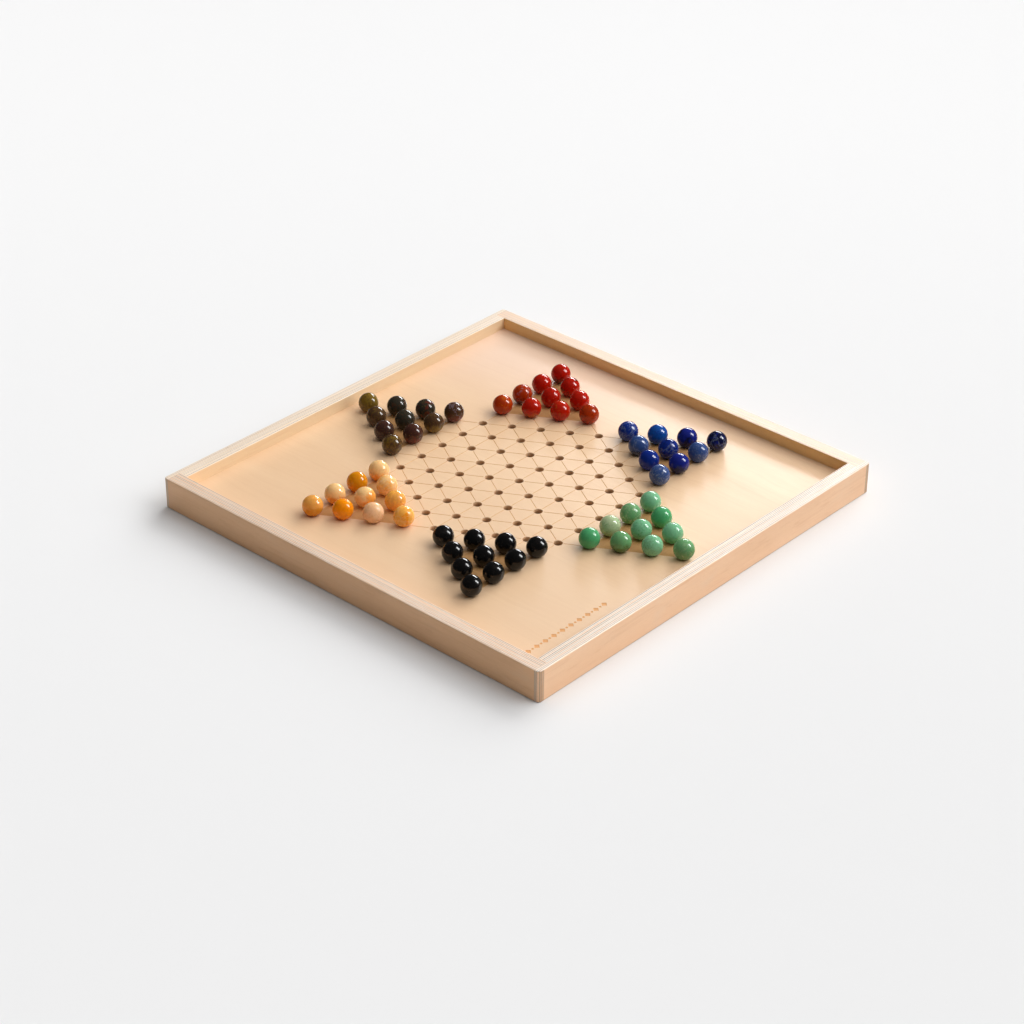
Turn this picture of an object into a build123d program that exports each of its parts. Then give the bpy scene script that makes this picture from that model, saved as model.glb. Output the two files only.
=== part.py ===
from build123d import *
import math
import os

os.makedirs("parts", exist_ok=True)

# Chinese checkers board: a square plywood tray with a drilled star panel and
# sixty stone marbles in six camps.
#
# Frame: origin at the centre of the tray's underside, +Z up. The front rail
# is on the -Y side. One of the three rows of sockets runs along X, and the
# star points along +/-Y and at 30 degrees to +/-X.

# ---- driving dimensions, millimetres -------------------------------------
board_side = 392.0        # outside of the frame, both ways
rail_height = 26.5        # underside to rim
rail_thickness = 13.0     # plywood on edge
corner_radius = 3.0       # rounded vertical corners
rim_ease = 1.0            # rounded outer edge of the rim
rim_ease_in = 0.6         # rounded inner edge of the rim
foot_ease = 0.8           # rounded outer edge of the underside
tongue = 4.5              # what the rabbet leaves of a long rail's end

panel_drop = 10.0         # rim down to the playing face
panel_thickness = 6.0
groove_depth = 4.0        # housing for the panel in each rail
groove_slack = 0.3        # left at the bottom of each groove

pitch = 24.0              # from socket to socket
camp_rows = 4             # rows in a camp, 1 + 2 + 3 + 4 sockets
socket_dia = 7.0          # drilled right through the panel

marble_dia = 16.5
marble_gap = 0.05         # running clearance over the socket's rim

# ---- derived ---------------------------------------------------------------
half = board_side / 2
inner = half - rail_thickness
panel_top = rail_height - panel_drop
panel_bottom = panel_top - panel_thickness
panel_half = inner + groove_depth - groove_slack
marble_r = marble_dia / 2
socket_r = socket_dia / 2
marble_z = panel_top + math.sqrt(marble_r**2 - socket_r**2) + marble_gap


def block(x0, x1, y0, y1, z0, z1):
    """A box between two corners."""
    return Pos((x0 + x1) / 2, (y0 + y1) / 2, (z0 + z1) / 2) * Box(x1 - x0, y1 - y0, z1 - z0)


# ---- the star of sockets -----------------------------------------------------
# Cube coordinates a + b + c = 0. The star is the union of two triangles.
n = camp_rows
star = []
for a in range(-2 * n, 2 * n + 1):
    for b in range(-2 * n, 2 * n + 1):
        c = -a - b
        if abs(c) <= 2 * n and (min(a, b, c) >= -n or max(a, b, c) <= n):
            star.append((a, b, c))


def place(abc):
    """Where a socket lies on the panel: a runs along X, b at 120 degrees."""
    a, b, c = abc
    return (pitch * (a - c) / 2, pitch * b * math.sqrt(3) / 2)


# Each camp is the set of sockets past one side of the middle hexagon. Going
# outward from the hexagon its rows hold 4, 3, 2 and 1 sockets.
camps = {
    "green": (1, -1),     # towards -Y
    "blue": (0, 1),       # towards -Y, +X
    "red": (2, -1),       # towards +Y, +X
    "olive": (1, 1),      # towards +Y
    "yellow": (0, -1),    # towards +Y, -X
    "black": (2, 1),      # towards -Y, -X
}


def camp_sockets(index, sign):
    """Sockets of one camp, from the row by the hexagon out to the tip."""
    rows = []
    for depth in range(n + 1, 2 * n + 1):
        row = [s for s in star if s[index] == sign * depth]
        row.sort(key=lambda s: (round(place(s)[0], 3), round(place(s)[1], 3)))
        rows.append(row)
    return rows


# ---- frame ---------------------------------------------------------------------
# The four rails are cut out of one ring, so that the eased edges and the
# rounded corners run on across the joints.
outer_prism = Pos(0, 0, rail_height / 2) * Box(board_side, board_side, rail_height)
outer_prism = fillet(outer_prism.edges().filter_by(Axis.Z), corner_radius)
outer_prism = fillet(outer_prism.faces().sort_by(Axis.Z)[-1].edges(), rim_ease)
outer_prism = fillet(outer_prism.faces().sort_by(Axis.Z)[0].edges(), foot_ease)
ring = outer_prism - block(-inner, inner, -inner, inner, -1, rail_height + 1)
inner_rim = [
    e for e in ring.faces().sort_by(Axis.Z)[-1].edges()
    if max(abs(e.center().X), abs(e.center().Y)) < inner + 0.01
]
ring = fillet(inner_rim, rim_ease_in)
# housing for the panel, run right through behind the inner faces
ring = ring - block(
    -inner - groove_depth, inner + groove_depth,
    -inner - groove_depth, inner + groove_depth,
    panel_bottom, panel_top,
)

seat = half - tongue      # where the short rails' square ends bear


def long_region(sign):
    """Space of a rail that runs corner to corner with a rabbet at each end."""
    y = sorted((sign * half, sign * seat))
    skin = block(-half - 1, half + 1, *( (y[0] - 1, y[1]) if sign < 0 else (y[0], y[1] + 1)), -1, rail_height + 1)
    w = sorted((sign * seat, sign * inner))
    core = block(-inner, inner, w[0], w[1], -1, rail_height + 1)
    return skin + core


def short_region(sign):
    """Space of a rail whose square ends sit in the long rails' rabbets."""
    x = (-half - 1, -inner) if sign < 0 else (inner, half + 1)
    return block(*x, -seat, seat, -1, rail_height + 1)


def only(shape):
    """The single solid of a boolean's result."""
    solids = shape.solids()
    assert len(solids) == 1, len(solids)
    return solids[0]


nodes = {
    "front_rail": only(ring & long_region(-1)),
    "rear_rail": only(ring & long_region(1)),
    "left_rail": only(ring & short_region(-1)),
    "right_rail": only(ring & short_region(1)),
}

# ---- panel ------------------------------------------------------------------------
panel = block(-panel_half, panel_half, -panel_half, panel_half, panel_bottom, panel_top)
drills = [
    Pos(*place(s), (panel_bottom + panel_top) / 2) * Cylinder(socket_r, panel_thickness + 2)
    for s in star
]
panel = panel - drills
nodes["star_panel"] = only(panel)

# ---- marbles ------------------------------------------------------------------------
# Nine nodes to a camp: the two marbles next to the tip share one.


def marble(s):
    return Pos(*place(s), marble_z) * Sphere(marble_r)


for colour, (index, sign) in camps.items():
    rows = camp_sockets(index, sign)
    assert [len(r) for r in rows] == [4, 3, 2, 1], (colour, [len(r) for r in rows])
    count = 0
    for depth, row in enumerate(rows):
        if depth == 2:
            nodes[f"{colour}_marble_pair"] = Compound(children=[marble(s) for s in row])
            continue
        for s in row:
            count += 1
            name = f"{colour}_marble_tip" if depth == 3 else f"{colour}_marble_{count}"
            nodes[name] = marble(s)

for name, shape in nodes.items():
    export_step(shape, f"parts/{name}.step")

print(len(star), "sockets,", len(nodes), "nodes")
for name in ("front_rail", "left_rail", "star_panel", "red_marble_tip"):
    b = nodes[name].bounding_box()
    print(name, round(nodes[name].volume, 1), b.min, b.max)
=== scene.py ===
import math
import random

import bmesh
import bpy
from mathutils import Matrix, Vector
from mathutils.geometry import delaunay_2d_cdt


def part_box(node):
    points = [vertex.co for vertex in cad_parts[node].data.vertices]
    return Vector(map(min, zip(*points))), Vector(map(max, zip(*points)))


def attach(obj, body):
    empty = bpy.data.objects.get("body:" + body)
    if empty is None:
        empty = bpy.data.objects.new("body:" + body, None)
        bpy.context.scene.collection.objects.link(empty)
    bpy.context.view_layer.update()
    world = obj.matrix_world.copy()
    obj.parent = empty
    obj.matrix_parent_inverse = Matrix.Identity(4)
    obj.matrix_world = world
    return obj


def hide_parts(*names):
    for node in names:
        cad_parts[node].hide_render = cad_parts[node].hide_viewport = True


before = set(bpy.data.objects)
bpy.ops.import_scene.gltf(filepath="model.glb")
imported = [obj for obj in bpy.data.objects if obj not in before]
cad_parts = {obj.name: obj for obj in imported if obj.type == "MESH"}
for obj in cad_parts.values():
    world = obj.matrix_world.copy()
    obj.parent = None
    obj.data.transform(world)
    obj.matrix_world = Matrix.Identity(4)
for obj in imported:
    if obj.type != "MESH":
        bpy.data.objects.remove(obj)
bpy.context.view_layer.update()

scene = bpy.context.scene
scene.view_settings.view_transform = "Standard"
MM = 0.001

# ---------------------------------------------------------------- sizes, mm, as in the CAD
PITCH, SOCKET_R, MARBLE_R = 24.0, 3.5, 8.25
HALF, THICK, RIM = 196.0, 13.0, 26.5
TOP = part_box("star_panel")[1].z / MM
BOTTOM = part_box("star_panel")[0].z / MM
PANEL_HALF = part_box("star_panel")[1].x / MM
ROW = PITCH * math.sqrt(3) / 2

star = [
    (a, b, -a - b)
    for a in range(-8, 9)
    for b in range(-8, 9)
    if abs(a + b) <= 8 and (min(a, b, -a - b) >= -4 or max(a, b, -a - b) <= 4)
]


def place(s):
    return (PITCH * (s[0] - s[2]) / 2, ROW * s[1])


# ---------------------------------------------------------------- camera
def camera():
    azimuth, elevation, roll = math.radians(-137.8772), math.radians(31.4569), math.radians(0.2654)
    toward = Vector((math.cos(elevation) * math.cos(azimuth), math.cos(elevation) * math.sin(azimuth), math.sin(elevation)))
    right = (-toward).cross(Vector((0, 0, 1))).normalized()
    up = right.cross(-toward)
    r = math.cos(roll) * right + math.sin(roll) * up
    u = -math.sin(roll) * right + math.cos(roll) * up
    data = bpy.data.cameras.new("camera")
    data.sensor_width = 36.0
    data.lens = 93.0214
    data.clip_end = 50
    cam = bpy.data.objects.new("camera", data)
    m = Matrix((r, u, toward)).transposed().to_4x4()
    m.translation = Vector((-1.32706, -1.192775, 1.079401))
    cam.matrix_world = m
    scene.collection.objects.link(cam)
    scene.camera = cam


camera()


# ---------------------------------------------------------------- node helper
class Tree:
    def __init__(self, name):
        self.mat = bpy.data.materials.new(name)
        self.mat.use_nodes = True
        self.nt = self.mat.node_tree
        self.nt.nodes.clear()
        self.out = self.nt.nodes.new("ShaderNodeOutputMaterial")
        self.p = self.nt.nodes.new("ShaderNodeBsdfPrincipled")
        self.nt.links.new(self.p.outputs[0], self.out.inputs[0])
        self.coord = self.nt.nodes.new("ShaderNodeTexCoord").outputs["Object"]

    def link(self, a, b):
        self.nt.links.new(a, b)

    def put(self, socket, value):
        if isinstance(value, bpy.types.NodeSocket):
            self.nt.links.new(value, socket)
        elif value is not None:
            if hasattr(socket.default_value, "__len__") and not hasattr(value, "__len__"):
                value = (value,) * len(socket.default_value)
            if hasattr(value, "__len__") and len(value) == 3 and len(socket.default_value) == 4:
                value = (*value, 1.0)
            socket.default_value = value

    def math(self, op, a, b=None, c=None, clamp=False):
        n = self.nt.nodes.new("ShaderNodeMath")
        n.operation, n.use_clamp = op, clamp
        self.put(n.inputs[0], a)
        if b is not None:
            self.put(n.inputs[1], b)
        if c is not None:
            self.put(n.inputs[2], c)
        return n.outputs[0]

    def vmath(self, op, a, b=None):
        n = self.nt.nodes.new("ShaderNodeVectorMath")
        n.operation = op
        self.put(n.inputs[0], a)
        if b is not None:
            self.put(n.inputs["Scale"] if op == "SCALE" else n.inputs[1], b)
        return n.outputs["Value"] if op in ("DOT_PRODUCT", "LENGTH", "DISTANCE") else n.outputs[0]

    def xyz(self, v):
        n = self.nt.nodes.new("ShaderNodeSeparateXYZ")
        self.link(v, n.inputs[0])
        return n.outputs

    def combine(self, x, y, z):
        n = self.nt.nodes.new("ShaderNodeCombineXYZ")
        for s, v in zip(n.inputs, (x, y, z)):
            self.put(s, v)
        return n.outputs[0]

    def scaled(self, scale, shift=(0, 0, 0), source=None):
        """The coordinates times scale, in 1/mm when the source is in mm."""
        n = self.nt.nodes.new("ShaderNodeMapping")
        self.link(source or self.coord, n.inputs["Vector"])
        n.inputs["Scale"].default_value = scale
        n.inputs["Location"].default_value = shift
        return n.outputs[0]

    def noise(self, vector, scale=1.0, detail=3.0, rough=0.5, distortion=0.0, w=None, colour=False):
        n = self.nt.nodes.new("ShaderNodeTexNoise")
        if w is not None:
            n.noise_dimensions = "4D"
            n.inputs["W"].default_value = w
        self.link(vector, n.inputs["Vector"])
        n.inputs["Scale"].default_value = scale
        n.inputs["Detail"].default_value = detail
        n.inputs["Roughness"].default_value = rough
        n.inputs["Distortion"].default_value = distortion
        return n.outputs["Color" if colour else "Fac"]

    def voronoi(self, vector, scale=1.0, feature="F1", out="Distance", rand=1.0):
        n = self.nt.nodes.new("ShaderNodeTexVoronoi")
        n.feature = feature
        self.link(vector, n.inputs["Vector"])
        n.inputs["Scale"].default_value = scale
        n.inputs["Randomness"].default_value = rand
        return n.outputs[out]

    def smooth(self, value, lo, hi, to_lo=0.0, to_hi=1.0):
        n = self.nt.nodes.new("ShaderNodeMapRange")
        n.interpolation_type = "SMOOTHSTEP"
        self.put(n.inputs["Value"], value)
        n.inputs["From Min"].default_value = lo
        n.inputs["From Max"].default_value = hi
        n.inputs["To Min"].default_value = to_lo
        n.inputs["To Max"].default_value = to_hi
        return n.outputs[0]

    def linear(self, value, lo, hi, to_lo=0.0, to_hi=1.0):
        n = self.nt.nodes.new("ShaderNodeMapRange")
        self.put(n.inputs["Value"], value)
        n.inputs["From Min"].default_value = lo
        n.inputs["From Max"].default_value = hi
        n.inputs["To Min"].default_value = to_lo
        n.inputs["To Max"].default_value = to_hi
        return n.outputs[0]

    def ramp(self, value, stops):
        n = self.nt.nodes.new("ShaderNodeValToRGB")
        self.link(value, n.inputs[0])
        e = n.color_ramp.elements
        while len(e) > 1:
            e.remove(e[-1])
        e[0].position, e[0].color = stops[0][0], (*stops[0][1], 1.0)
        for at, colour in stops[1:]:
            x = e.new(at)
            x.color = (*colour, 1.0)
        return n.outputs[0]

    def mix(self, factor, a, b, blend="MIX"):
        n = self.nt.nodes.new("ShaderNodeMix")
        n.data_type, n.blend_type = "RGBA", blend
        self.put(n.inputs[0], factor)
        self.put(n.inputs[6], a)
        self.put(n.inputs[7], b)
        return n.outputs[2]

    def bump(self, height, distance, strength=1.0, normal=None):
        n = self.nt.nodes.new("ShaderNodeBump")
        self.link(height, n.inputs["Height"])
        n.inputs["Distance"].default_value = distance
        n.inputs["Strength"].default_value = strength
        if normal is not None:
            self.link(normal, n.inputs["Normal"])
        return n.outputs[0]

    def normal_facing(self, axis):
        """How far the surface faces along an axis of the object, from 0 to 1."""
        g = self.nt.nodes.new("ShaderNodeTexCoord").outputs["Normal"]
        d = self.vmath("DOT_PRODUCT", g, axis)
        return self.math("ABSOLUTE", d)


def srgb(r, g, b):
    def f(c):
        c /= 255
        return c / 12.92 if c <= 0.04045 else ((c + 0.055) / 1.055) ** 2.4
    return (f(r), f(g), f(b))


# ---------------------------------------------------------------- wood
def veneer(t, along, pale, mid, deep, shift=0.0, figure=1.0):
    """Birch face grain. along is 0 where it runs along X, 1 along Y. Returns colour, height and fibre sockets."""
    v = t.scaled((1000, 1000, 1000), (shift, shift * 0.7, shift * 0.3))
    x, y, z = t.xyz(v)
    g = t.combine(x, y, z) if along == 0 else t.combine(y, x, z)
    wander = t.noise(t.scaled((0.012, 0.03, 0.03), source=g), 1.0, 2.0)
    wv = t.combine(0.0, t.math("MULTIPLY", t.math("SUBTRACT", wander, 0.5), 22.0 * figure), 0.0)
    gw = t.vmath("ADD", g, wv)
    broad = t.noise(t.scaled((0.008, 0.04, 0.04), source=gw), 1.0, 3.0, 0.55)
    bands = t.noise(t.scaled((0.006, 0.30, 0.30), source=gw), 1.0, 4.0, 0.6)
    fibres = t.noise(t.scaled((0.07, 3.0, 3.0), source=gw), 1.0, 3.0, 0.65)
    flecks = t.noise(t.scaled((0.30, 5.0, 5.0), source=gw), 1.0, 1.0, 0.5)
    fleck = t.smooth(flecks, 0.66, 0.80)
    base = t.ramp(broad, [(0.30, mid), (0.70, pale)])
    c = t.mix(t.smooth(bands, 0.48, 0.75, 0.0, 0.32 * figure), base, deep)
    c = t.mix(t.linear(fibres, 0.35, 0.8, 0.0, 0.22), c, deep)
    c = t.mix(t.math("MULTIPLY", fleck, 0.30), c, tuple(x * 0.62 for x in deep))
    height = t.math("ADD", t.math("MULTIPLY", fibres, 0.6), t.math("MULTIPLY", t.math("SUBTRACT", 1.0, fleck), 0.4))
    return c, height, fibres


FACE_SKIN, PLY = 1.25, 1.5  # thickness of the face veneer and of each inner ply, mm


def rail_material(name, axis, outer, pale, mid, deep, edge_pale_and_sheen, edge_deep_and_sheen, shift=0.0, lines=0.5, outer_without_painted_bounce=(1.0, 1.0, 1.0)):
    """Plywood on edge. axis is 'Y' for rails that lie along X (plies stacked in Y), else 'X'. outer is the outer face's coordinate in mm."""
    t = Tree(name)
    mm = t.scaled((1000, 1000, 1000))
    x, y, z = t.xyz(mm)
    across, along = (y, x) if axis == "Y" else (x, y)
    s = t.math("ABSOLUTE", t.math("SUBTRACT", across, outer))
    # where the neighbouring rail's tongue shows at a corner, its plies run the other way
    reach = t.math("SUBTRACT", HALF, t.math("ABSOLUTE", along))
    if axis == "Y":
        corner = t.math("MULTIPLY", t.math("LESS_THAN", reach, 5.4), t.math("LESS_THAN", s, 2.4))
        corner = t.math("MULTIPLY", corner, t.smooth(t.normal_facing((0, 0, 1)), 0.5, 0.8, 1.0, 0.0))
        s = t.math("ADD", t.math("MULTIPLY", t.math("SUBTRACT", 1.0, corner), s), t.math("MULTIPLY", corner, t.math("ADD", reach, 0.15)))
    face, face_h, face_r = veneer(t, 0 if axis == "Y" else 1, pale, mid, deep, shift)
    waver = t.noise(t.scaled((0.01, 0.01, 0.01), source=mm), 1.0, 2.0)
    s2 = t.math("ADD", s, t.math("MULTIPLY", t.math("SUBTRACT", waver, 0.5), 0.35))
    u = t.math("DIVIDE", t.math("SUBTRACT", s2, FACE_SKIN), PLY)
    shifted = t.math("ADD", u, 20.0)
    inside = t.math("MULTIPLY", t.math("GREATER_THAN", u, -0.35), t.math("LESS_THAN", u, 7.35))
    frac = t.math("FRACT", shifted)
    near = t.math("MINIMUM", frac, t.math("SUBTRACT", 1.0, frac))
    # every glue line differs: some dark, most faint
    index = t.math("ROUND", shifted)
    uneven = t.noise(t.combine(t.math("MULTIPLY", along, 0.006), t.math("MULTIPLY", index, 7.3), shift), 1.0, 2.0)
    first = t.math("LESS_THAN", t.math("ABSOLUTE", t.math("SUBTRACT", index, 27.0)), 0.5)
    depth = t.math("ADD", t.linear(uneven, 0.35, 0.65, 0.18, 1.0), t.math("MULTIPLY", first, 0.5), clamp=True)
    line = t.math("MULTIPLY", t.math("MULTIPLY", t.smooth(near, 0.09, 0.22, 1.0, 0.0), inside), depth)
    parity = t.math("MODULO", t.math("FLOOR", shifted), 2.0)
    core = t.math("MULTIPLY", t.math("GREATER_THAN", u, 0.0), t.math("LESS_THAN", u, 7.0))
    g = t.combine(along, across, z)
    speck = t.noise(t.scaled((1.9, 2.0, 1.5), source=g), 1.0, 3.0, 0.7)
    rays = t.noise(t.scaled((1.2, 0.25, 0.35), source=g), 1.0, 2.0, 0.6)
    endg = t.mix(t.linear(speck, 0.3, 0.75), edge_deep_and_sheen, edge_pale_and_sheen)
    endg = t.mix(t.smooth(rays, 0.5, 0.72, 0.0, 0.35), endg, edge_deep_and_sheen)
    streak = t.noise(t.scaled((0.05, 1.6, 1.6), source=g), 1.0, 3.0, 0.6)
    longg = t.mix(t.linear(streak, 0.3, 0.7), edge_pale_and_sheen, pale)
    cross = t.math("MULTIPLY", core, t.math("SUBTRACT", 1.0, parity))
    tonal = t.noise(t.combine(t.math("MULTIPLY", along, 0.004), t.math("MULTIPLY", t.math("FLOOR", shifted), 3.1), 0.0), 1.0, 1.0)
    edge = t.mix(t.math("MULTIPLY", cross, 0.75), longg, endg)
    edge = t.mix(t.linear(tonal, 0.3, 0.7, 0.0, 0.3), edge, edge_deep_and_sheen)
    strong = t.math("ADD", t.math("MULTIPLY", corner, 0.5), lines, clamp=True) if axis == "Y" else lines
    if axis == "Y":
        edge = t.mix(t.math("MULTIPLY", corner, 0.62), edge, srgb(172, 124, 84))
    # end grain and glue lines on upright faces are mixed browner than on the rim top, whose pale edge colours are
    # partly painted sheen
    upright = t.smooth(t.normal_facing((0, 0, 1)), 0.5, 0.8, 1.0, 0.0)
    edge = t.mix(t.math("MULTIPLY", upright, 0.55), edge, srgb(208, 162, 120))
    ink = t.mix(upright, srgb(130, 98, 80), srgb(94, 58, 36))
    edge = t.mix(t.math("MULTIPLY", line, strong), edge, ink)
    gap = t.noise(t.scaled((0.05, 0.7, 0.7), (3.1, 8.2, 1.7), source=g), 1.0, 1.0)
    seam = t.math("MULTIPLY", t.smooth(gap, 0.76, 0.79), cross)
    edge = t.mix(t.math("MULTIPLY", seam, 0.55), edge, srgb(92, 62, 42))
    # the face veneer covers the outermost and innermost ply
    flat = t.math("SUBTRACT", 1.0, t.normal_facing((0, 0, 1)))
    skin = t.math("MULTIPLY", t.math("SUBTRACT", 1.0, core), t.smooth(flat, 0.25, 0.8))
    # painted bounce light: the face colours given for the rear and right rails are brightened for their inner walls,
    # and the outer half of the rail is multiplied back down here
    face = t.mix(t.math("LESS_THAN", s, THICK / 2), face, t.mix(1.0, face, outer_without_painted_bounce, "MULTIPLY"))
    colour = t.mix(skin, edge, face)
    # the bottom 1.6 mm, where the rail stands on the floor, is painted a little darker: painted contact shade
    colour = t.mix(t.smooth(z, 0.0, 1.6, 0.30, 0.0), colour, srgb(150, 108, 74))
    smudge = t.noise(t.scaled((0.02, 0.02, 0.05), (5.0, 2.0, 9.0), source=mm), 1.0, 3.0, 0.55)
    colour = t.mix(t.smooth(smudge, 0.5, 0.75, 0.0, 0.14), colour, edge_deep_and_sheen)
    t.put(t.p.inputs["Base Color"], colour)
    h = t.math("ADD", t.math("MULTIPLY", line, -1.0), t.math("MULTIPLY", t.math("MULTIPLY", speck, cross), 0.6))
    h = t.math("ADD", h, t.math("MULTIPLY", face_h, 0.35))
    t.put(t.p.inputs["Normal"], t.bump(h, 0.00012, 0.6))
    t.put(t.p.inputs["Roughness"], t.linear(speck, 0.2, 0.8, 0.38, 0.52))
    t.p.inputs["Specular IOR Level"].default_value = 0.4
    t.p.inputs["Coat Weight"].default_value = 0.10
    t.p.inputs["Coat Roughness"].default_value = 0.32
    return t.mat


def panel_materials():
    out = []
    pale, mid, deep = srgb(240, 205, 166), srgb(235, 197, 157), srgb(212, 167, 122)
    # face
    t = Tree("panel_face")
    c, h, r = veneer(t, 1, pale, mid, deep, 31.0, 0.62)
    # painted light: the sheet is painted a little darker towards -x as painted light fall-off, and paler and whiter
    # towards +x as painted sheen
    px, py, pz = t.xyz(t.scaled((1000, 1000, 1000)))
    side = t.math("ADD", t.math("ADD", t.math("MULTIPLY", px, 0.85), t.math("MULTIPLY", py, 0.30)), t.noise(t.scaled((4, 4, 4)), 40.0, 2.0))
    c = t.mix(t.smooth(side, 80.0, -170.0, 0.0, 0.50), c, srgb(222, 190, 156))
    c = t.mix(t.smooth(side, 70.0, 190.0, 0.0, 0.65), c, srgb(242, 211, 192))
    t.put(t.p.inputs["Base Color"], c)
    t.put(t.p.inputs["Normal"], t.bump(h, 0.00006, 0.5))
    smear = t.noise(t.scaled((30, 30, 30)), 1.0, 3.0, 0.6)
    t.put(t.p.inputs["Roughness"], t.math("ADD", t.linear(r, 0.3, 0.7, 0.34, 0.42), t.linear(smear, 0.3, 0.7, -0.03, 0.03)))
    t.p.inputs["Specular IOR Level"].default_value = 0.4
    t.p.inputs["Coat Weight"].default_value = 0.16
    t.p.inputs["Coat Roughness"].default_value = 0.26
    out.append(t.mat)
    # engraved lines
    t = Tree("panel_engraved_line")
    c, h, r = veneer(t, 1, srgb(226, 180, 126), srgb(220, 170, 116), srgb(200, 146, 94), 31.0)
    char = t.noise(t.scaled((700, 700, 700)), 1.0, 3.0, 0.6)
    c = t.mix(t.linear(char, 0.3, 0.7, 0.05, 0.35), c, srgb(200, 148, 98))
    t.put(t.p.inputs["Base Color"], c)
    t.put(t.p.inputs["Normal"], t.bump(char, 0.0001, 0.5))
    t.put(t.p.inputs["Roughness"], t.linear(char, 0.3, 0.7, 0.6, 0.75))
    out.append(t.mat)
    # camp fields, engraved flat with fine passes along X
    t = Tree("panel_camp_field")
    c, h, r = veneer(t, 1, srgb(218, 170, 112), srgb(208, 157, 98), srgb(188, 132, 76), 31.0)
    mm = t.scaled((1000, 1000, 1000))
    x, y, z = t.xyz(mm)
    passes = t.math("SINE", t.math("MULTIPLY", y, 2 * math.pi / 0.55))
    uneven = t.noise(t.scaled((0.12, 1.2, 1.0), source=mm), 1.0, 3.0, 0.6)
    c = t.mix(t.linear(uneven, 0.3, 0.7, 0.05, 0.40), c, srgb(188, 132, 78))
    c = t.mix(t.linear(passes, -1, 1, 0.0, 0.18), c, srgb(172, 120, 72))
    t.put(t.p.inputs["Base Color"], c)
    t.put(t.p.inputs["Normal"], t.bump(t.math("ADD", passes, t.math("MULTIPLY", uneven, 0.5)), 0.00004, 0.5))
    t.put(t.p.inputs["Roughness"], t.linear(uneven, 0.3, 0.7, 0.50, 0.64))
    out.append(t.mat)
    # socket walls: ply edges, browned by the cutting
    t = Tree("panel_socket_wall")
    mm = t.scaled((1000, 1000, 1000))
    x, y, z = t.xyz(mm)
    u = t.math("DIVIDE", t.math("SUBTRACT", z, BOTTOM), 1.2)
    frac = t.math("FRACT", u)
    near = t.math("MINIMUM", frac, t.math("SUBTRACT", 1.0, frac))
    line = t.smooth(near, 0.04, 0.14, 1.0, 0.0)
    soot = t.noise(t.scaled((0.8, 0.8, 1.6), source=mm), 1.0, 4.0, 0.65)
    c = t.mix(t.linear(soot, 0.3, 0.7), srgb(196, 150, 108), srgb(234, 192, 148))
    c = t.mix(t.math("MULTIPLY", line, 0.35), c, srgb(140, 100, 70))
    t.put(t.p.inputs["Base Color"], c)
    t.put(t.p.inputs["Normal"], t.bump(t.math("SUBTRACT", soot, line), 0.0001, 0.6))
    t.put(t.p.inputs["Roughness"], t.linear(soot, 0.3, 0.7, 0.60, 0.8))
    out.append(t.mat)
    # the panel's edges, in the grooves, and its underside
    t = Tree("panel_underside")
    c, h, r = veneer(t, 1, srgb(226, 190, 148), srgb(216, 176, 132), srgb(190, 144, 98), 77.0, 1.8)
    knot = t.voronoi(t.scaled((9, 14, 9)), 1.0)
    c = t.mix(t.smooth(knot, 0.03, 0.09, 0.6, 0.0), c, srgb(120, 76, 44))
    t.put(t.p.inputs["Base Color"], c)
    t.put(t.p.inputs["Normal"], t.bump(h, 0.0001, 0.6))
    t.put(t.p.inputs["Roughness"], t.linear(r, 0.3, 0.7, 0.5, 0.62))
    out.append(t.mat)
    # the row of marks by the front rail
    t = Tree("panel_marks")
    c, h, r = veneer(t, 1, srgb(226, 166, 100), srgb(218, 156, 92), srgb(200, 134, 74), 31.0)
    char = t.noise(t.scaled((500, 900, 700)), 1.0, 3.0, 0.6)
    c = t.mix(t.linear(char, 0.3, 0.7, 0.0, 0.35), c, srgb(214, 150, 88))
    t.put(t.p.inputs["Base Color"], c)
    t.put(t.p.inputs["Normal"], t.bump(char, 0.00006, 0.5))
    t.put(t.p.inputs["Roughness"], t.linear(char, 0.3, 0.7, 0.55, 0.7))
    out.append(t.mat)
    return out


# ---------------------------------------------------------------- the drilled and engraved panel
LINE_W, LINE_D, LINE_GAP, TAPER = 0.66, 0.24, 0.45, 0.7
FIELD_D, FIELD_SLOPE = 0.16, 0.15
CHAMFER = 0.2
SEGS = 48

camps = []
for index in range(3):
    for sign in (-1, 1):
        camps.append([s for s in star if s[index] * sign > 4])


def camp_corners(camp):
    pts = [Vector(place(s)) for s in camp]
    mid = sum(pts, Vector((0, 0))) / len(pts)
    far = sorted(pts, key=lambda p: -(p - mid).length)[:3]
    far.sort(key=lambda p: math.atan2((p - mid).y, (p - mid).x))
    return far


def inset(poly, d):
    """A convex polygon, counter-clockwise, moved in by d."""
    n, out = len(poly), []
    for i in range(n):
        a, b, c = poly[i - 1], poly[i], poly[(i + 1) % n]
        e1, e2 = (b - a).normalized(), (c - b).normalized()
        n1, n2 = Vector((-e1.y, e1.x)), Vector((-e2.y, e2.x))
        k = d / (1 + n1.dot(n2))
        out.append(b + (n1 + n2) * k)
    return out


def depth_in(poly, p):
    """How far p is inside a convex, counter-clockwise polygon; negative outside."""
    best = 1e9
    n = len(poly)
    for i in range(n):
        a, b = poly[i], poly[(i + 1) % n]
        e = (b - a).normalized()
        best = min(best, e.x * (p.y - a.y) - e.y * (p.x - a.x))
    return best


def ornament():
    """A plain row of lozenges and dots beside the front rail."""
    shapes = []
    y0, x = -163.4, -171.0
    for k in range(19):
        if k % 2 == 0:
            shapes.append([Vector((x + 2.6, y0)), Vector((x, y0 + 2.6)), Vector((x - 2.6, y0)), Vector((x, y0 - 2.6))])
        else:
            shapes.append([Vector((x + 1.0 * math.cos(a), y0 + 1.0 * math.sin(a))) for a in [2 * math.pi * i / 14 for i in range(14)]])
        x += 4.6
    return shapes


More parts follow.
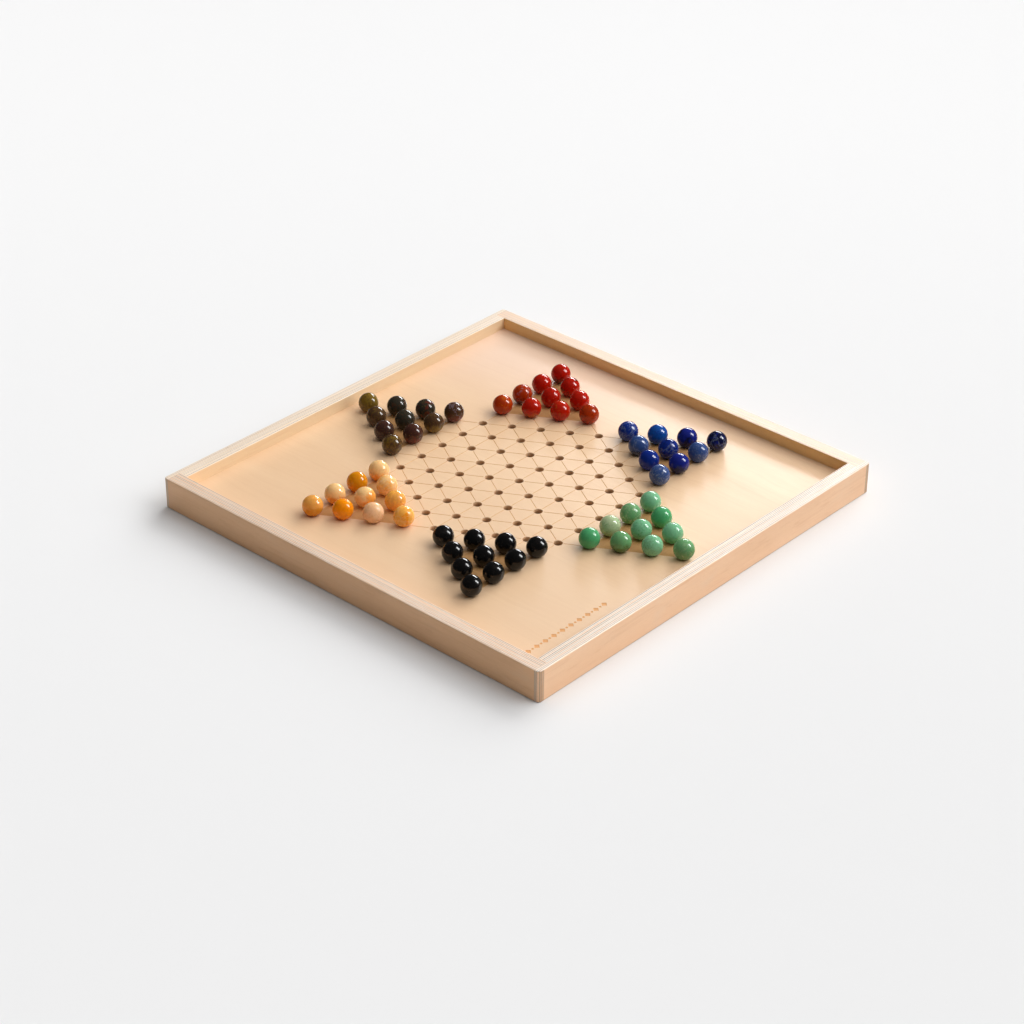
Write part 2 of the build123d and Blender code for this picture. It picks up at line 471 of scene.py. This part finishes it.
def build_panel():
    verts, edges = [], []

    def loop(poly):
        k = len(verts)
        verts.extend(poly)
        edges.extend((k + i, k + (i + 1) % len(poly)) for i in range(len(poly)))
        return k

    def ring(c, r):
        return [Vector((c[0] + r * math.cos(2 * math.pi * i / SEGS), c[1] + r * math.sin(2 * math.pi * i / SEGS))) for i in range(SEGS)]

    square = [Vector(p) for p in ((-PANEL_HALF, -PANEL_HALF), (PANEL_HALF, -PANEL_HALF), (PANEL_HALF, PANEL_HALF), (-PANEL_HALF, PANEL_HALF))]
    loop(square)
    centres = [Vector(place(s)) for s in star]
    for c in centres:
        loop(ring(c, SOCKET_R + CHAMFER))
        loop(ring(c, SOCKET_R))
    fields = [camp_corners(c) for c in camps]
    for f in fields:
        loop(f)
        loop(inset(f, FIELD_SLOPE))
    marks = ornament()
    for m in marks:
        loop(m)
        loop(inset(m, 0.2))
    lines = []
    placed = {s: Vector(place(s)) for s in star}
    for s in star:
        for d in ((1, 0, -1), (0, 1, -1), (1, -1, 0)):
            o = tuple(a + b for a, b in zip(s, d))
            if o in placed:
                a, b = placed[s], placed[o]
                e = (b - a).normalized()
                lines.append((a + e * (SOCKET_R + CHAMFER + LINE_GAP), b - e * (SOCKET_R + CHAMFER + LINE_GAP)))
    for a, b in lines:
        e = (b - a).normalized()
        n = Vector((-e.y, e.x)) * LINE_W / 2
        k = len(verts)
        verts.extend([a, a + e * TAPER - n, b - e * TAPER - n, b, b - e * TAPER + n, a + e * TAPER + n, a + e * TAPER, b - e * TAPER])
        edges.extend((k + i, k + j) for i, j in ((0, 1), (1, 2), (2, 3), (3, 4), (4, 5), (5, 0), (0, 6), (6, 7), (7, 3), (6, 1), (6, 5), (7, 2), (7, 4)))

    co, ed, fa, _, _, _ = delaunay_2d_cdt(verts, edges, [], 0, 1e-5)

    # a grid, so that each point only looks at what is near it
    def cell(p):
        return (int(p.x // PITCH), int(p.y // PITCH))

    near_lines, near_holes = {}, {}
    for i, (a, b) in enumerate(lines):
        for p in (a, (a + b) / 2, b):
            cx, cy = cell(p)
            for dx in (-1, 0, 1):
                for dy in (-1, 0, 1):
                    near_lines.setdefault((cx + dx, cy + dy), set()).add(i)
    for i, c in enumerate(centres):
        cx, cy = cell(c)
        for dx in (-1, 0, 1):
            for dy in (-1, 0, 1):
                near_holes.setdefault((cx + dx, cy + dy), set()).add(i)

    def groove(p):
        deep = 0.0
        for i in near_lines.get(cell(p), ()):
            a, b = lines[i]
            e = (b - a).normalized()
            s, t = (p - a).dot(e), abs(e.x * (p - a).y - e.y * (p - a).x)
            length = (b - a).length
            if -1e-4 <= s <= length + 1e-4:
                full = min(1.0, s / TAPER, (length - s) / TAPER)
                w = LINE_W / 2 * max(full, 1e-6)
                if t <= w + 1e-4:
                    deep = max(deep, LINE_D * full * (1 - t / w))
        return deep

    def hole_distance(p):
        return min(((p - centres[i]).length for i in near_holes.get(cell(p), ())), default=1e9)

    def level(p):
        field = 0.0
        for f in fields:
            d = depth_in(f, p)
            if d > 0:
                field = FIELD_D * min(1.0, d / FIELD_SLOPE)
        for m in marks:
            if abs(p.x - m[0].x) < 8 and abs(p.y - m[0].y) < 8:
                d = depth_in(m, p)
                if d > 0:
                    field = max(field, 0.2 * min(1.0, d / 0.2))
        z = max(groove(p), field)
        r = hole_distance(p)
        if r < SOCKET_R + CHAMFER - 1e-4:
            z = max(z, CHAMFER * (SOCKET_R + CHAMFER - r) / CHAMFER)
        return -z

    bm = bmesh.new()
    top = [bm.verts.new((p.x * MM, p.y * MM, (TOP + level(p)) * MM)) for p in co]
    FACE, LINE, FIELD, WALL, UNDER, MARK = range(6)
    for f in fa:
        mid = sum((co[i] for i in f), Vector((0, 0))) / len(f)
        r = hole_distance(mid)
        if r < SOCKET_R * math.cos(math.pi / SEGS) - 1e-3:
            continue
        face = bm.faces.new([top[i] for i in f])
        if r < SOCKET_R + CHAMFER:
            face.material_index = WALL
        elif groove(mid) > 1e-3:
            face.material_index = LINE
        elif any(depth_in(x, mid) > 0 for x in fields):
            face.material_index = FIELD
        elif any(abs(mid.x - m[0].x) < 8 and abs(mid.y - m[0].y) < 8 and depth_in(m, mid) > 0 for m in marks):
            face.material_index = MARK
        else:
            face.material_index = FACE
    # underside: the same outline and sockets, flat
    verts2, edges2 = [], []
    verts, edges = verts2, edges2
    loop(square)
    for c in centres:
        loop(ring(c, SOCKET_R))
    co2, ed2, fa2, _, _, _ = delaunay_2d_cdt(verts2, edges2, [], 0, 1e-5)
    low = [bm.verts.new((p.x * MM, p.y * MM, BOTTOM * MM)) for p in co2]
    for f in fa2:
        mid = sum((co2[i] for i in f), Vector((0, 0))) / len(f)
        if hole_distance(mid) < SOCKET_R * math.cos(math.pi / SEGS) - 1e-3:
            continue
        face = bm.faces.new([low[i] for i in reversed(f)])
        face.material_index = UNDER
    bm.verts.index_update()
    # walls of the sockets
    def keyed(points, handles):
        return {(round(p.x, 3), round(p.y, 3)): v for p, v in zip(points, handles)}
    up, down = keyed(co, top), keyed(co2, low)
    rim = [(p, v) for p, v in zip(co, top) if abs(hole_distance(p) - SOCKET_R) < 0.02]
    for c in centres:
        r = ring(c, SOCKET_R)
        mine = [(p, v) for p, v in rim if (p - c).length < SOCKET_R + 0.1]
        for i in range(SEGS):
            a, b = r[i], r[(i + 1) % SEGS]
            ka, kb = (round(a.x, 3), round(a.y, 3)), (round(b.x, 3), round(b.y, 3))
            e = b - a
            # the camp's outline may cross this stretch of the rim
            between = []
            for p, v in mine:
                along = (p - a).dot(e) / e.length_squared
                if 1e-3 < along < 1 - 1e-3 and abs(e.x * (p - a).y - e.y * (p - a).x) / e.length < 1e-3:
                    between.append((along, v))
            between.sort(key=lambda w: w[0])
            f = bm.faces.new((up[ka], *(v for _, v in between), up[kb], down[kb], down[ka]))
            f.material_index = WALL
            f.smooth = True
    corners = [(round(p.x, 3), round(p.y, 3)) for p in square]
    for i in range(4):
        a, b = corners[i], corners[(i + 1) % 4]
        f = bm.faces.new((up[b], up[a], down[a], down[b]))
        f.material_index = UNDER
    loose = [v for v in bm.verts if not v.link_faces]
    bmesh.ops.delete(bm, geom=loose, context="VERTS")
    bmesh.ops.recalc_face_normals(bm, faces=bm.faces)
    open_edges = sum(1 for e in bm.edges if len(e.link_faces) != 2)
    print("panel: faces", len(bm.faces), "open edges", open_edges)
    me = bpy.data.meshes.new("drilled_star_panel")
    bm.to_mesh(me)
    bm.free()
    ob = bpy.data.objects.new("drilled_star_panel", me)
    scene.collection.objects.link(ob)
    for m in panel_materials():
        me.materials.append(m)
    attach(ob, "root")
    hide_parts("star_panel")
    return ob


panel = build_panel()


def dress(node, material):
    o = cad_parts[node]
    for s in o.material_slots:
        s.material = material
    if not o.material_slots:
        o.data.materials.append(material)


PALE, MID, DEEP = srgb(242, 200, 160), srgb(234, 190, 148), srgb(212, 158, 112)
WHITE_EDGE, GREY_EDGE = srgb(247, 232, 214), srgb(226, 204, 182)
# the fourth and fifth colours of each rail, its ply-edge colours, are partly the pale edge plies and partly painted
# sheen on the rim top
dress("front_rail", rail_material("ply_front", "Y", -HALF, srgb(250, 207, 168), srgb(243, 197, 156), srgb(220, 164, 119), srgb(243, 236, 226), srgb(222, 209, 194), 11.0, 0.90))
# the rear and right rails' face colours are brightened as painted bounce light on their inner walls; their last
# argument darkens the outer face back
dress("rear_rail", rail_material("ply_rear", "Y", HALF, srgb(252, 226, 188), srgb(248, 218, 176), srgb(232, 190, 142), srgb(254, 242, 228), srgb(235, 216, 197), 57.0, 0.75, (0.88, 0.80, 0.74)))
dress("left_rail", rail_material("ply_left", "X", -HALF, srgb(244, 195, 148), srgb(236, 185, 138), srgb(212, 155, 106), srgb(240, 222, 205), srgb(217, 197, 179), 91.0, 0.75))
dress("right_rail", rail_material("ply_right", "X", HALF, srgb(255, 214, 150), srgb(254, 207, 140), srgb(243, 184, 114), srgb(236, 214, 199), srgb(221, 193, 176), 143.0, 0.35, (0.74, 0.68, 0.86)))


# ---------------------------------------------------------------- marbles
STONES = {
    # red jasper
    "crimson": srgb(182, 22, 1), "brick": srgb(172, 50, 3), "rust": srgb(190, 84, 18), "blood": srgb(96, 18, 5), "ash": srgb(146, 132, 146),
    # sodalite and lapis
    "royal": srgb(11, 41, 130), "azure": srgb(18, 78, 160), "navy": srgb(10, 14, 54), "denim": srgb(50, 76, 134), "haze": srgb(128, 140, 170), "indigo": srgb(24, 36, 130),
    # aventurine
    "emerald": srgb(80, 168, 110), "leaf": srgb(108, 164, 110), "mint": srgb(130, 194, 150), "sage": srgb(182, 200, 156), "moss": srgb(82, 106, 42),
    # yellow jade
    "amber": srgb(248, 148, 8), "honey": srgb(255, 182, 80), "cream": srgb(255, 206, 142), "bisque": srgb(248, 198, 152), "ochre": srgb(218, 138, 10), "gold": srgb(248, 164, 66), "tan": srgb(238, 168, 80),
    # dragon blood stone
    "bark": srgb(74, 50, 32), "lichen": srgb(122, 96, 30), "maroon": srgb(104, 40, 26), "soot": srgb(50, 46, 36), "plum": srgb(66, 38, 30),
    # onyx
    "jet": (0.0045, 0.0042, 0.0042), "smoke": (0.014, 0.012, 0.011),
}
# main colour, second colour, how much of the second, how it lies, third colour in thin veins
LOOKS = {
    "red_marble_1": [("brick", "rust", 0.45, "cloud", None)],
    "red_marble_2": [("crimson", "rust", 0.40, "low", None)],
    "red_marble_3": [("crimson", "rust", 0.35, "mottle", None)],
    "red_marble_4": [("brick", "blood", 0.40, "mottle", None)],
    "red_marble_5": [("brick", "blood", 0.50, "low", "ash")],
    "red_marble_6": [("crimson", "blood", 0.45, "mottle", None)],
    "red_marble_7": [("crimson", "brick", 0.35, "low", None)],
    "red_marble_pair": [("crimson", "brick", 0.30, "cloud", None), ("crimson", "blood", 0.45, "cloud", None)],
    "red_marble_tip": [("crimson", "blood", 0.45, "low", None)],
    "blue_marble_1": [("denim", "haze", 0.55, "mottle", None)],
    "blue_marble_2": [("royal", "indigo", 0.30, "low", None)],
    "blue_marble_3": [("denim", "navy", 0.40, "low", "haze")],
    "blue_marble_4": [("royal", "denim", 0.50, "mottle", "haze")],
    "blue_marble_5": [("indigo", "navy", 0.62, "low", None)],
    "blue_marble_6": [("royal", "navy", 0.60, "mottle", "haze")],
    "blue_marble_7": [("azure", "royal", 0.40, "mottle", None)],
    "blue_marble_pair": [("denim", "haze", 0.35, "mottle", None), ("indigo", "navy", 0.50, "cloud", None)],
    "blue_marble_tip": [("navy", "indigo", 0.40, "cloud", "haze")],
    "green_marble_1": [("emerald", "leaf", 0.20, "low", None)],
    "green_marble_2": [("sage", "leaf", 0.30, "mottle", None)],
    "green_marble_3": [("leaf", "sage", 0.45, "mottle", None)],
    "green_marble_4": [("mint", "emerald", 0.25, "low", None)],
    "green_marble_5": [("leaf", "moss", 0.55, "low", None)],
    "green_marble_6": [("mint", "emerald", 0.50, "mottle", None)],
    "green_marble_7": [("emerald", "leaf", 0.40, "mottle", None)],
    "green_marble_pair": [("mint", "leaf", 0.45, "mottle", None), ("mint", "emerald", 0.40, "low", None)],
    "green_marble_tip": [("leaf", "sage", 0.40, "mottle", None)],
    "yellow_marble_1": [("honey", "amber", 0.40, "cloud", "cream")],
    "yellow_marble_2": [("tan", "honey", 0.45, "cloud", None)],
    "yellow_marble_3": [("cream", "honey", 0.45, "cloud", "bisque")],
    "yellow_marble_4": [("cream", "gold", 0.50, "low", None)],
    "yellow_marble_5": [("bisque", "tan", 0.25, "mottle", None)],
    "yellow_marble_6": [("cream", "gold", 0.50, "side", None)],
    "yellow_marble_7": [("ochre", "amber", 0.45, "mottle", None)],
    "yellow_marble_pair": [("amber", "ochre", 0.30, "cloud", None), ("cream", "gold", 0.60, "low", None)],
    "yellow_marble_tip": [("tan", "ochre", 0.70, "low", None)],
    "olive_marble_1": [("bark", "lichen", 0.65, "mottle", None)],
    "olive_marble_2": [("plum", "maroon", 0.55, "low", None)],
    "olive_marble_3": [("bark", "lichen", 0.50, "low", None)],
    "olive_marble_4": [("bark", "maroon", 0.55, "low", "ash")],
    "olive_marble_5": [("plum", "soot", 0.40, "mottle", None)],
    "olive_marble_6": [("soot", "bark", 0.30, "mottle", None)],
    "olive_marble_7": [("soot", "maroon", 0.50, "cloud", None)],
    "olive_marble_pair": [("bark", "lichen", 0.35, "mottle", None), ("soot", "bark", 0.25, "cloud", None)],
    "olive_marble_tip": [("lichen", "bark", 0.50, "mottle", None)],
}


def stone(node, seed):
    kind = node.split("_")[0]
    looks = LOOKS.get(node) or [("jet", "smoke", 0.35, "cloud", None)] * (2 if node.endswith("pair") else 1)
    t = Tree(f"{node}_stone")
    low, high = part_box(node)
    mid = (low + high) / 2
    centres = [mid]
    if len(looks) == 2:
        ends = sorted((Vector((*place(s), mid.z / MM)) * MM for s in star if (Vector((*place(s), 0.0)) * MM - Vector((mid.x, mid.y, 0.0))).length < 0.6 * PITCH * MM), key=lambda v: (v - mid).length)[:2]
        ends.sort(key=lambda v: (round(v.x, 5), round(v.y, 5)))
        centres = ends
    colour = grit = None
    for k, (look, centre) in enumerate(zip(looks, centres)):
        main, second, amount, lie, vein = look
        w = seed + 4.7 * k
        local = t.vmath("SCALE", t.vmath("SUBTRACT", t.coord, tuple(centre)), 1000 / MARBLE_R)
        x, y, z = t.xyz(local)
        cloud = t.noise(local, 1.1, 4.0, 0.6, 0.9, w=w)
        grain = t.noise(local, 5.5, 4.0, 0.72, 0.3, w=w + 1.3)
        fine = t.noise(local, 15.0, 2.0, 0.6, w=w + 2.9)
        if lie == "mottle":
            f = t.math("ADD", t.math("MULTIPLY", cloud, 0.35), t.math("MULTIPLY", grain, 0.65))
            f = t.smooth(f, 0.60 - 0.22 * amount, 0.72 - 0.18 * amount)
        # the low lie puts the second colour on the under side of the stone, along one axis that is the same in every
        # marble: painted shading of the lower part, darker in most stones and warmer in some
        elif lie in ("low", "side"):
            axis = (-0.25, -0.25, -0.93) if lie == "low" else (0.30, -0.85, -0.40)
            d = t.vmath("DOT_PRODUCT", local, axis)
            d = t.math("ADD", d, t.math("MULTIPLY", t.math("SUBTRACT", cloud, 0.5), 1.6))
            f = t.smooth(d, 0.75 - 1.2 * amount, 1.25 - 1.2 * amount)
        else:
            f = t.smooth(cloud, 0.62 - 0.24 * amount, 0.74 - 0.24 * amount)
        c = t.mix(f, STONES[main], STONES[second])
        c = t.mix(t.linear(grain, 0.35, 0.75, 0.0, 0.42), c, tuple(v * 0.55 for v in STONES[main]))
        c = t.mix(t.smooth(fine, 0.54, 0.72, 0.0, 0.34 if kind == "olive" else 0.18), c, tuple(min(1.0, v * 1.6 + 0.01) for v in STONES[second]))
        if kind == "olive":
            flake = t.voronoi(t.vmath("ADD", local, (w, 0.0, 0.0)), 4.2)
            c = t.mix(t.smooth(flake, 0.10, 0.26, 0.55, 0.0), c, STONES["lichen" if amount > 0.32 else "maroon"])
        if vein:
            band = t.noise(local, 0.8, 4.0, 0.6, 0.8, w=w + 7.0)
            edge = t.math("ABSOLUTE", t.math("SUBTRACT", band, 0.5))
            c = t.mix(t.smooth(edge, 0.0, 0.03, 0.42, 0.0), c, STONES[vein])
        if colour is None:
            colour, grit = c, grain
        else:
            here = t.math("LESS_THAN", t.vmath("LENGTH", local), 1.3)
            colour, grit = t.mix(here, colour, c), grain
    t.put(t.p.inputs["Base Color"], colour)
    clear = kind in ("yellow", "green")
    if clear:
        t.p.inputs["Subsurface Weight"].default_value = 0.45 if kind == "yellow" else 0.12
        t.p.inputs["Subsurface Radius"].default_value = (0.9, 0.8, 0.55) if kind == "yellow" else (0.4, 1.0, 0.6)
        t.p.inputs["Subsurface Scale"].default_value = 0.0035 if kind == "yellow" else 0.002
    t.p.inputs["IOR"].default_value = 1.50
    t.p.inputs["Specular IOR Level"].default_value = 0.26
    t.p.inputs["Coat Weight"].default_value = 0.12
    t.p.inputs["Coat Roughness"].default_value = 0.05
    wear = t.noise(t.scaled((900, 900, 900)), 1.0, 3.0, 0.6)
    t.put(t.p.inputs["Roughness"], t.math("ADD", t.linear(wear, 0.3, 0.7, 0.12, 0.19), t.linear(grit, 0.3, 0.8, 0.0, 0.05)))
    pits = t.noise(t.scaled((420, 420, 420)), 1.0, 2.0, 0.5)
    t.put(t.p.inputs["Normal"], t.bump(pits, 0.00003, 0.25))
    return t.mat


random.seed(11)
for name in sorted(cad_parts):
    if "_marble" in name:
        dress(name, stone(name, random.random() * 30))


# ---------------------------------------------------------------- floor and light
def floor():
    t = Tree("studio_floor")
    mm = t.scaled((1, 1, 1))
    x, y, z = t.xyz(mm)
    # painted light fall-off: the floor is painted darker towards the camera and brighter away from it
    along = t.math("ADD", t.math("MULTIPLY", x, 0.742), t.math("MULTIPLY", y, 0.670))
    c = t.mix(t.smooth(along, -0.7, 0.9), (0.795, 0.799, 0.806), (0.872, 0.876, 0.883))
    t.put(t.p.inputs["Base Color"], c)
    t.p.inputs["Roughness"].default_value = 0.9
    t.p.inputs["Specular IOR Level"].default_value = 0.05
    me = bpy.data.meshes.new("studio_floor")
    s = 8.0
    me.from_pydata([(-s, -s, -0.00005), (s, -s, -0.00005), (s, s, -0.00005), (-s, s, -0.00005)], [], [(0, 1, 2, 3)])
    me.materials.append(t.mat)
    ob = bpy.data.objects.new("studio_floor", me)
    scene.collection.objects.link(ob)


floor()


def direction(azimuth, elevation):
    a, e = math.radians(azimuth), math.radians(elevation)
    return Vector((math.cos(e) * math.cos(a), math.cos(e) * math.sin(a), math.sin(e)))


def broad(name, azimuth, elevation, angle, strength, colour=(1, 1, 1)):
    """A wide soft light from one side, without a reflection of its own."""
    data = bpy.data.lights.new(name, "SUN")
    data.angle = math.radians(angle)
    data.energy = strength
    data.color = colour
    ob = bpy.data.objects.new(name, data)
    ob.rotation_euler = direction(azimuth, elevation).to_track_quat("Z", "Y").to_euler()
    ob.visible_glossy = False
    scene.collection.objects.link(ob)


def pane(name, a, b, width, radiance, distance=1.7, colour=(1, 1, 1)):
    """A strip of window from one direction to another, which gives only the gloss."""
    p, q = direction(*a) * distance, direction(*b) * distance
    at, run = (p + q) / 2, q - p
    data = bpy.data.lights.new(name, "AREA")
    data.shape = "RECTANGLE"
    data.size, data.size_y = run.length, width
    data.energy = radiance * math.pi * run.length * width
    data.color = colour
    ob = bpy.data.objects.new(name, data)
    z = at.normalized()
    x = (run - run.dot(z) * z).normalized()
    y = z.cross(x)
    m = Matrix((x, y, z)).transposed().to_4x4()
    m.translation = at + Vector((0, 0, 0.02))
    ob.matrix_world = m
    ob.visible_diffuse = False
    scene.collection.objects.link(ob)


broad("window_light", 8, 30, 44, 2.05, (1.0, 0.985, 0.965))
broad("front_fill", -50, 41, 50, 1.68, (1.0, 0.99, 0.98))
broad("overhead", -30, 78, 100, 1.18)
pane("window_upper", (38, 13), (8, 25), 0.20, 29)
pane("window_front", (-46, 54), (-48, 22), 0.46, 27)

world = bpy.data.worlds.new("studio")
scene.world = world
world.use_nodes = True
wt = world.node_tree
bg = wt.nodes["Background"]
bg.inputs[0].default_value = (0.94, 0.97, 1.0, 1.0)
bg.inputs[1].default_value = 0.05
backdrop = wt.nodes.new("ShaderNodeBackground")
backdrop.inputs[0].default_value = (0.90, 0.90, 0.905, 1.0)
seen = wt.nodes.new("ShaderNodeLightPath")
either = wt.nodes.new("ShaderNodeMixShader")
wt.links.new(seen.outputs["Is Camera Ray"], either.inputs[0])
wt.links.new(bg.outputs[0], either.inputs[1])
wt.links.new(backdrop.outputs[0], either.inputs[2])
wt.links.new(either.outputs[0], wt.nodes["World Output"].inputs[0])
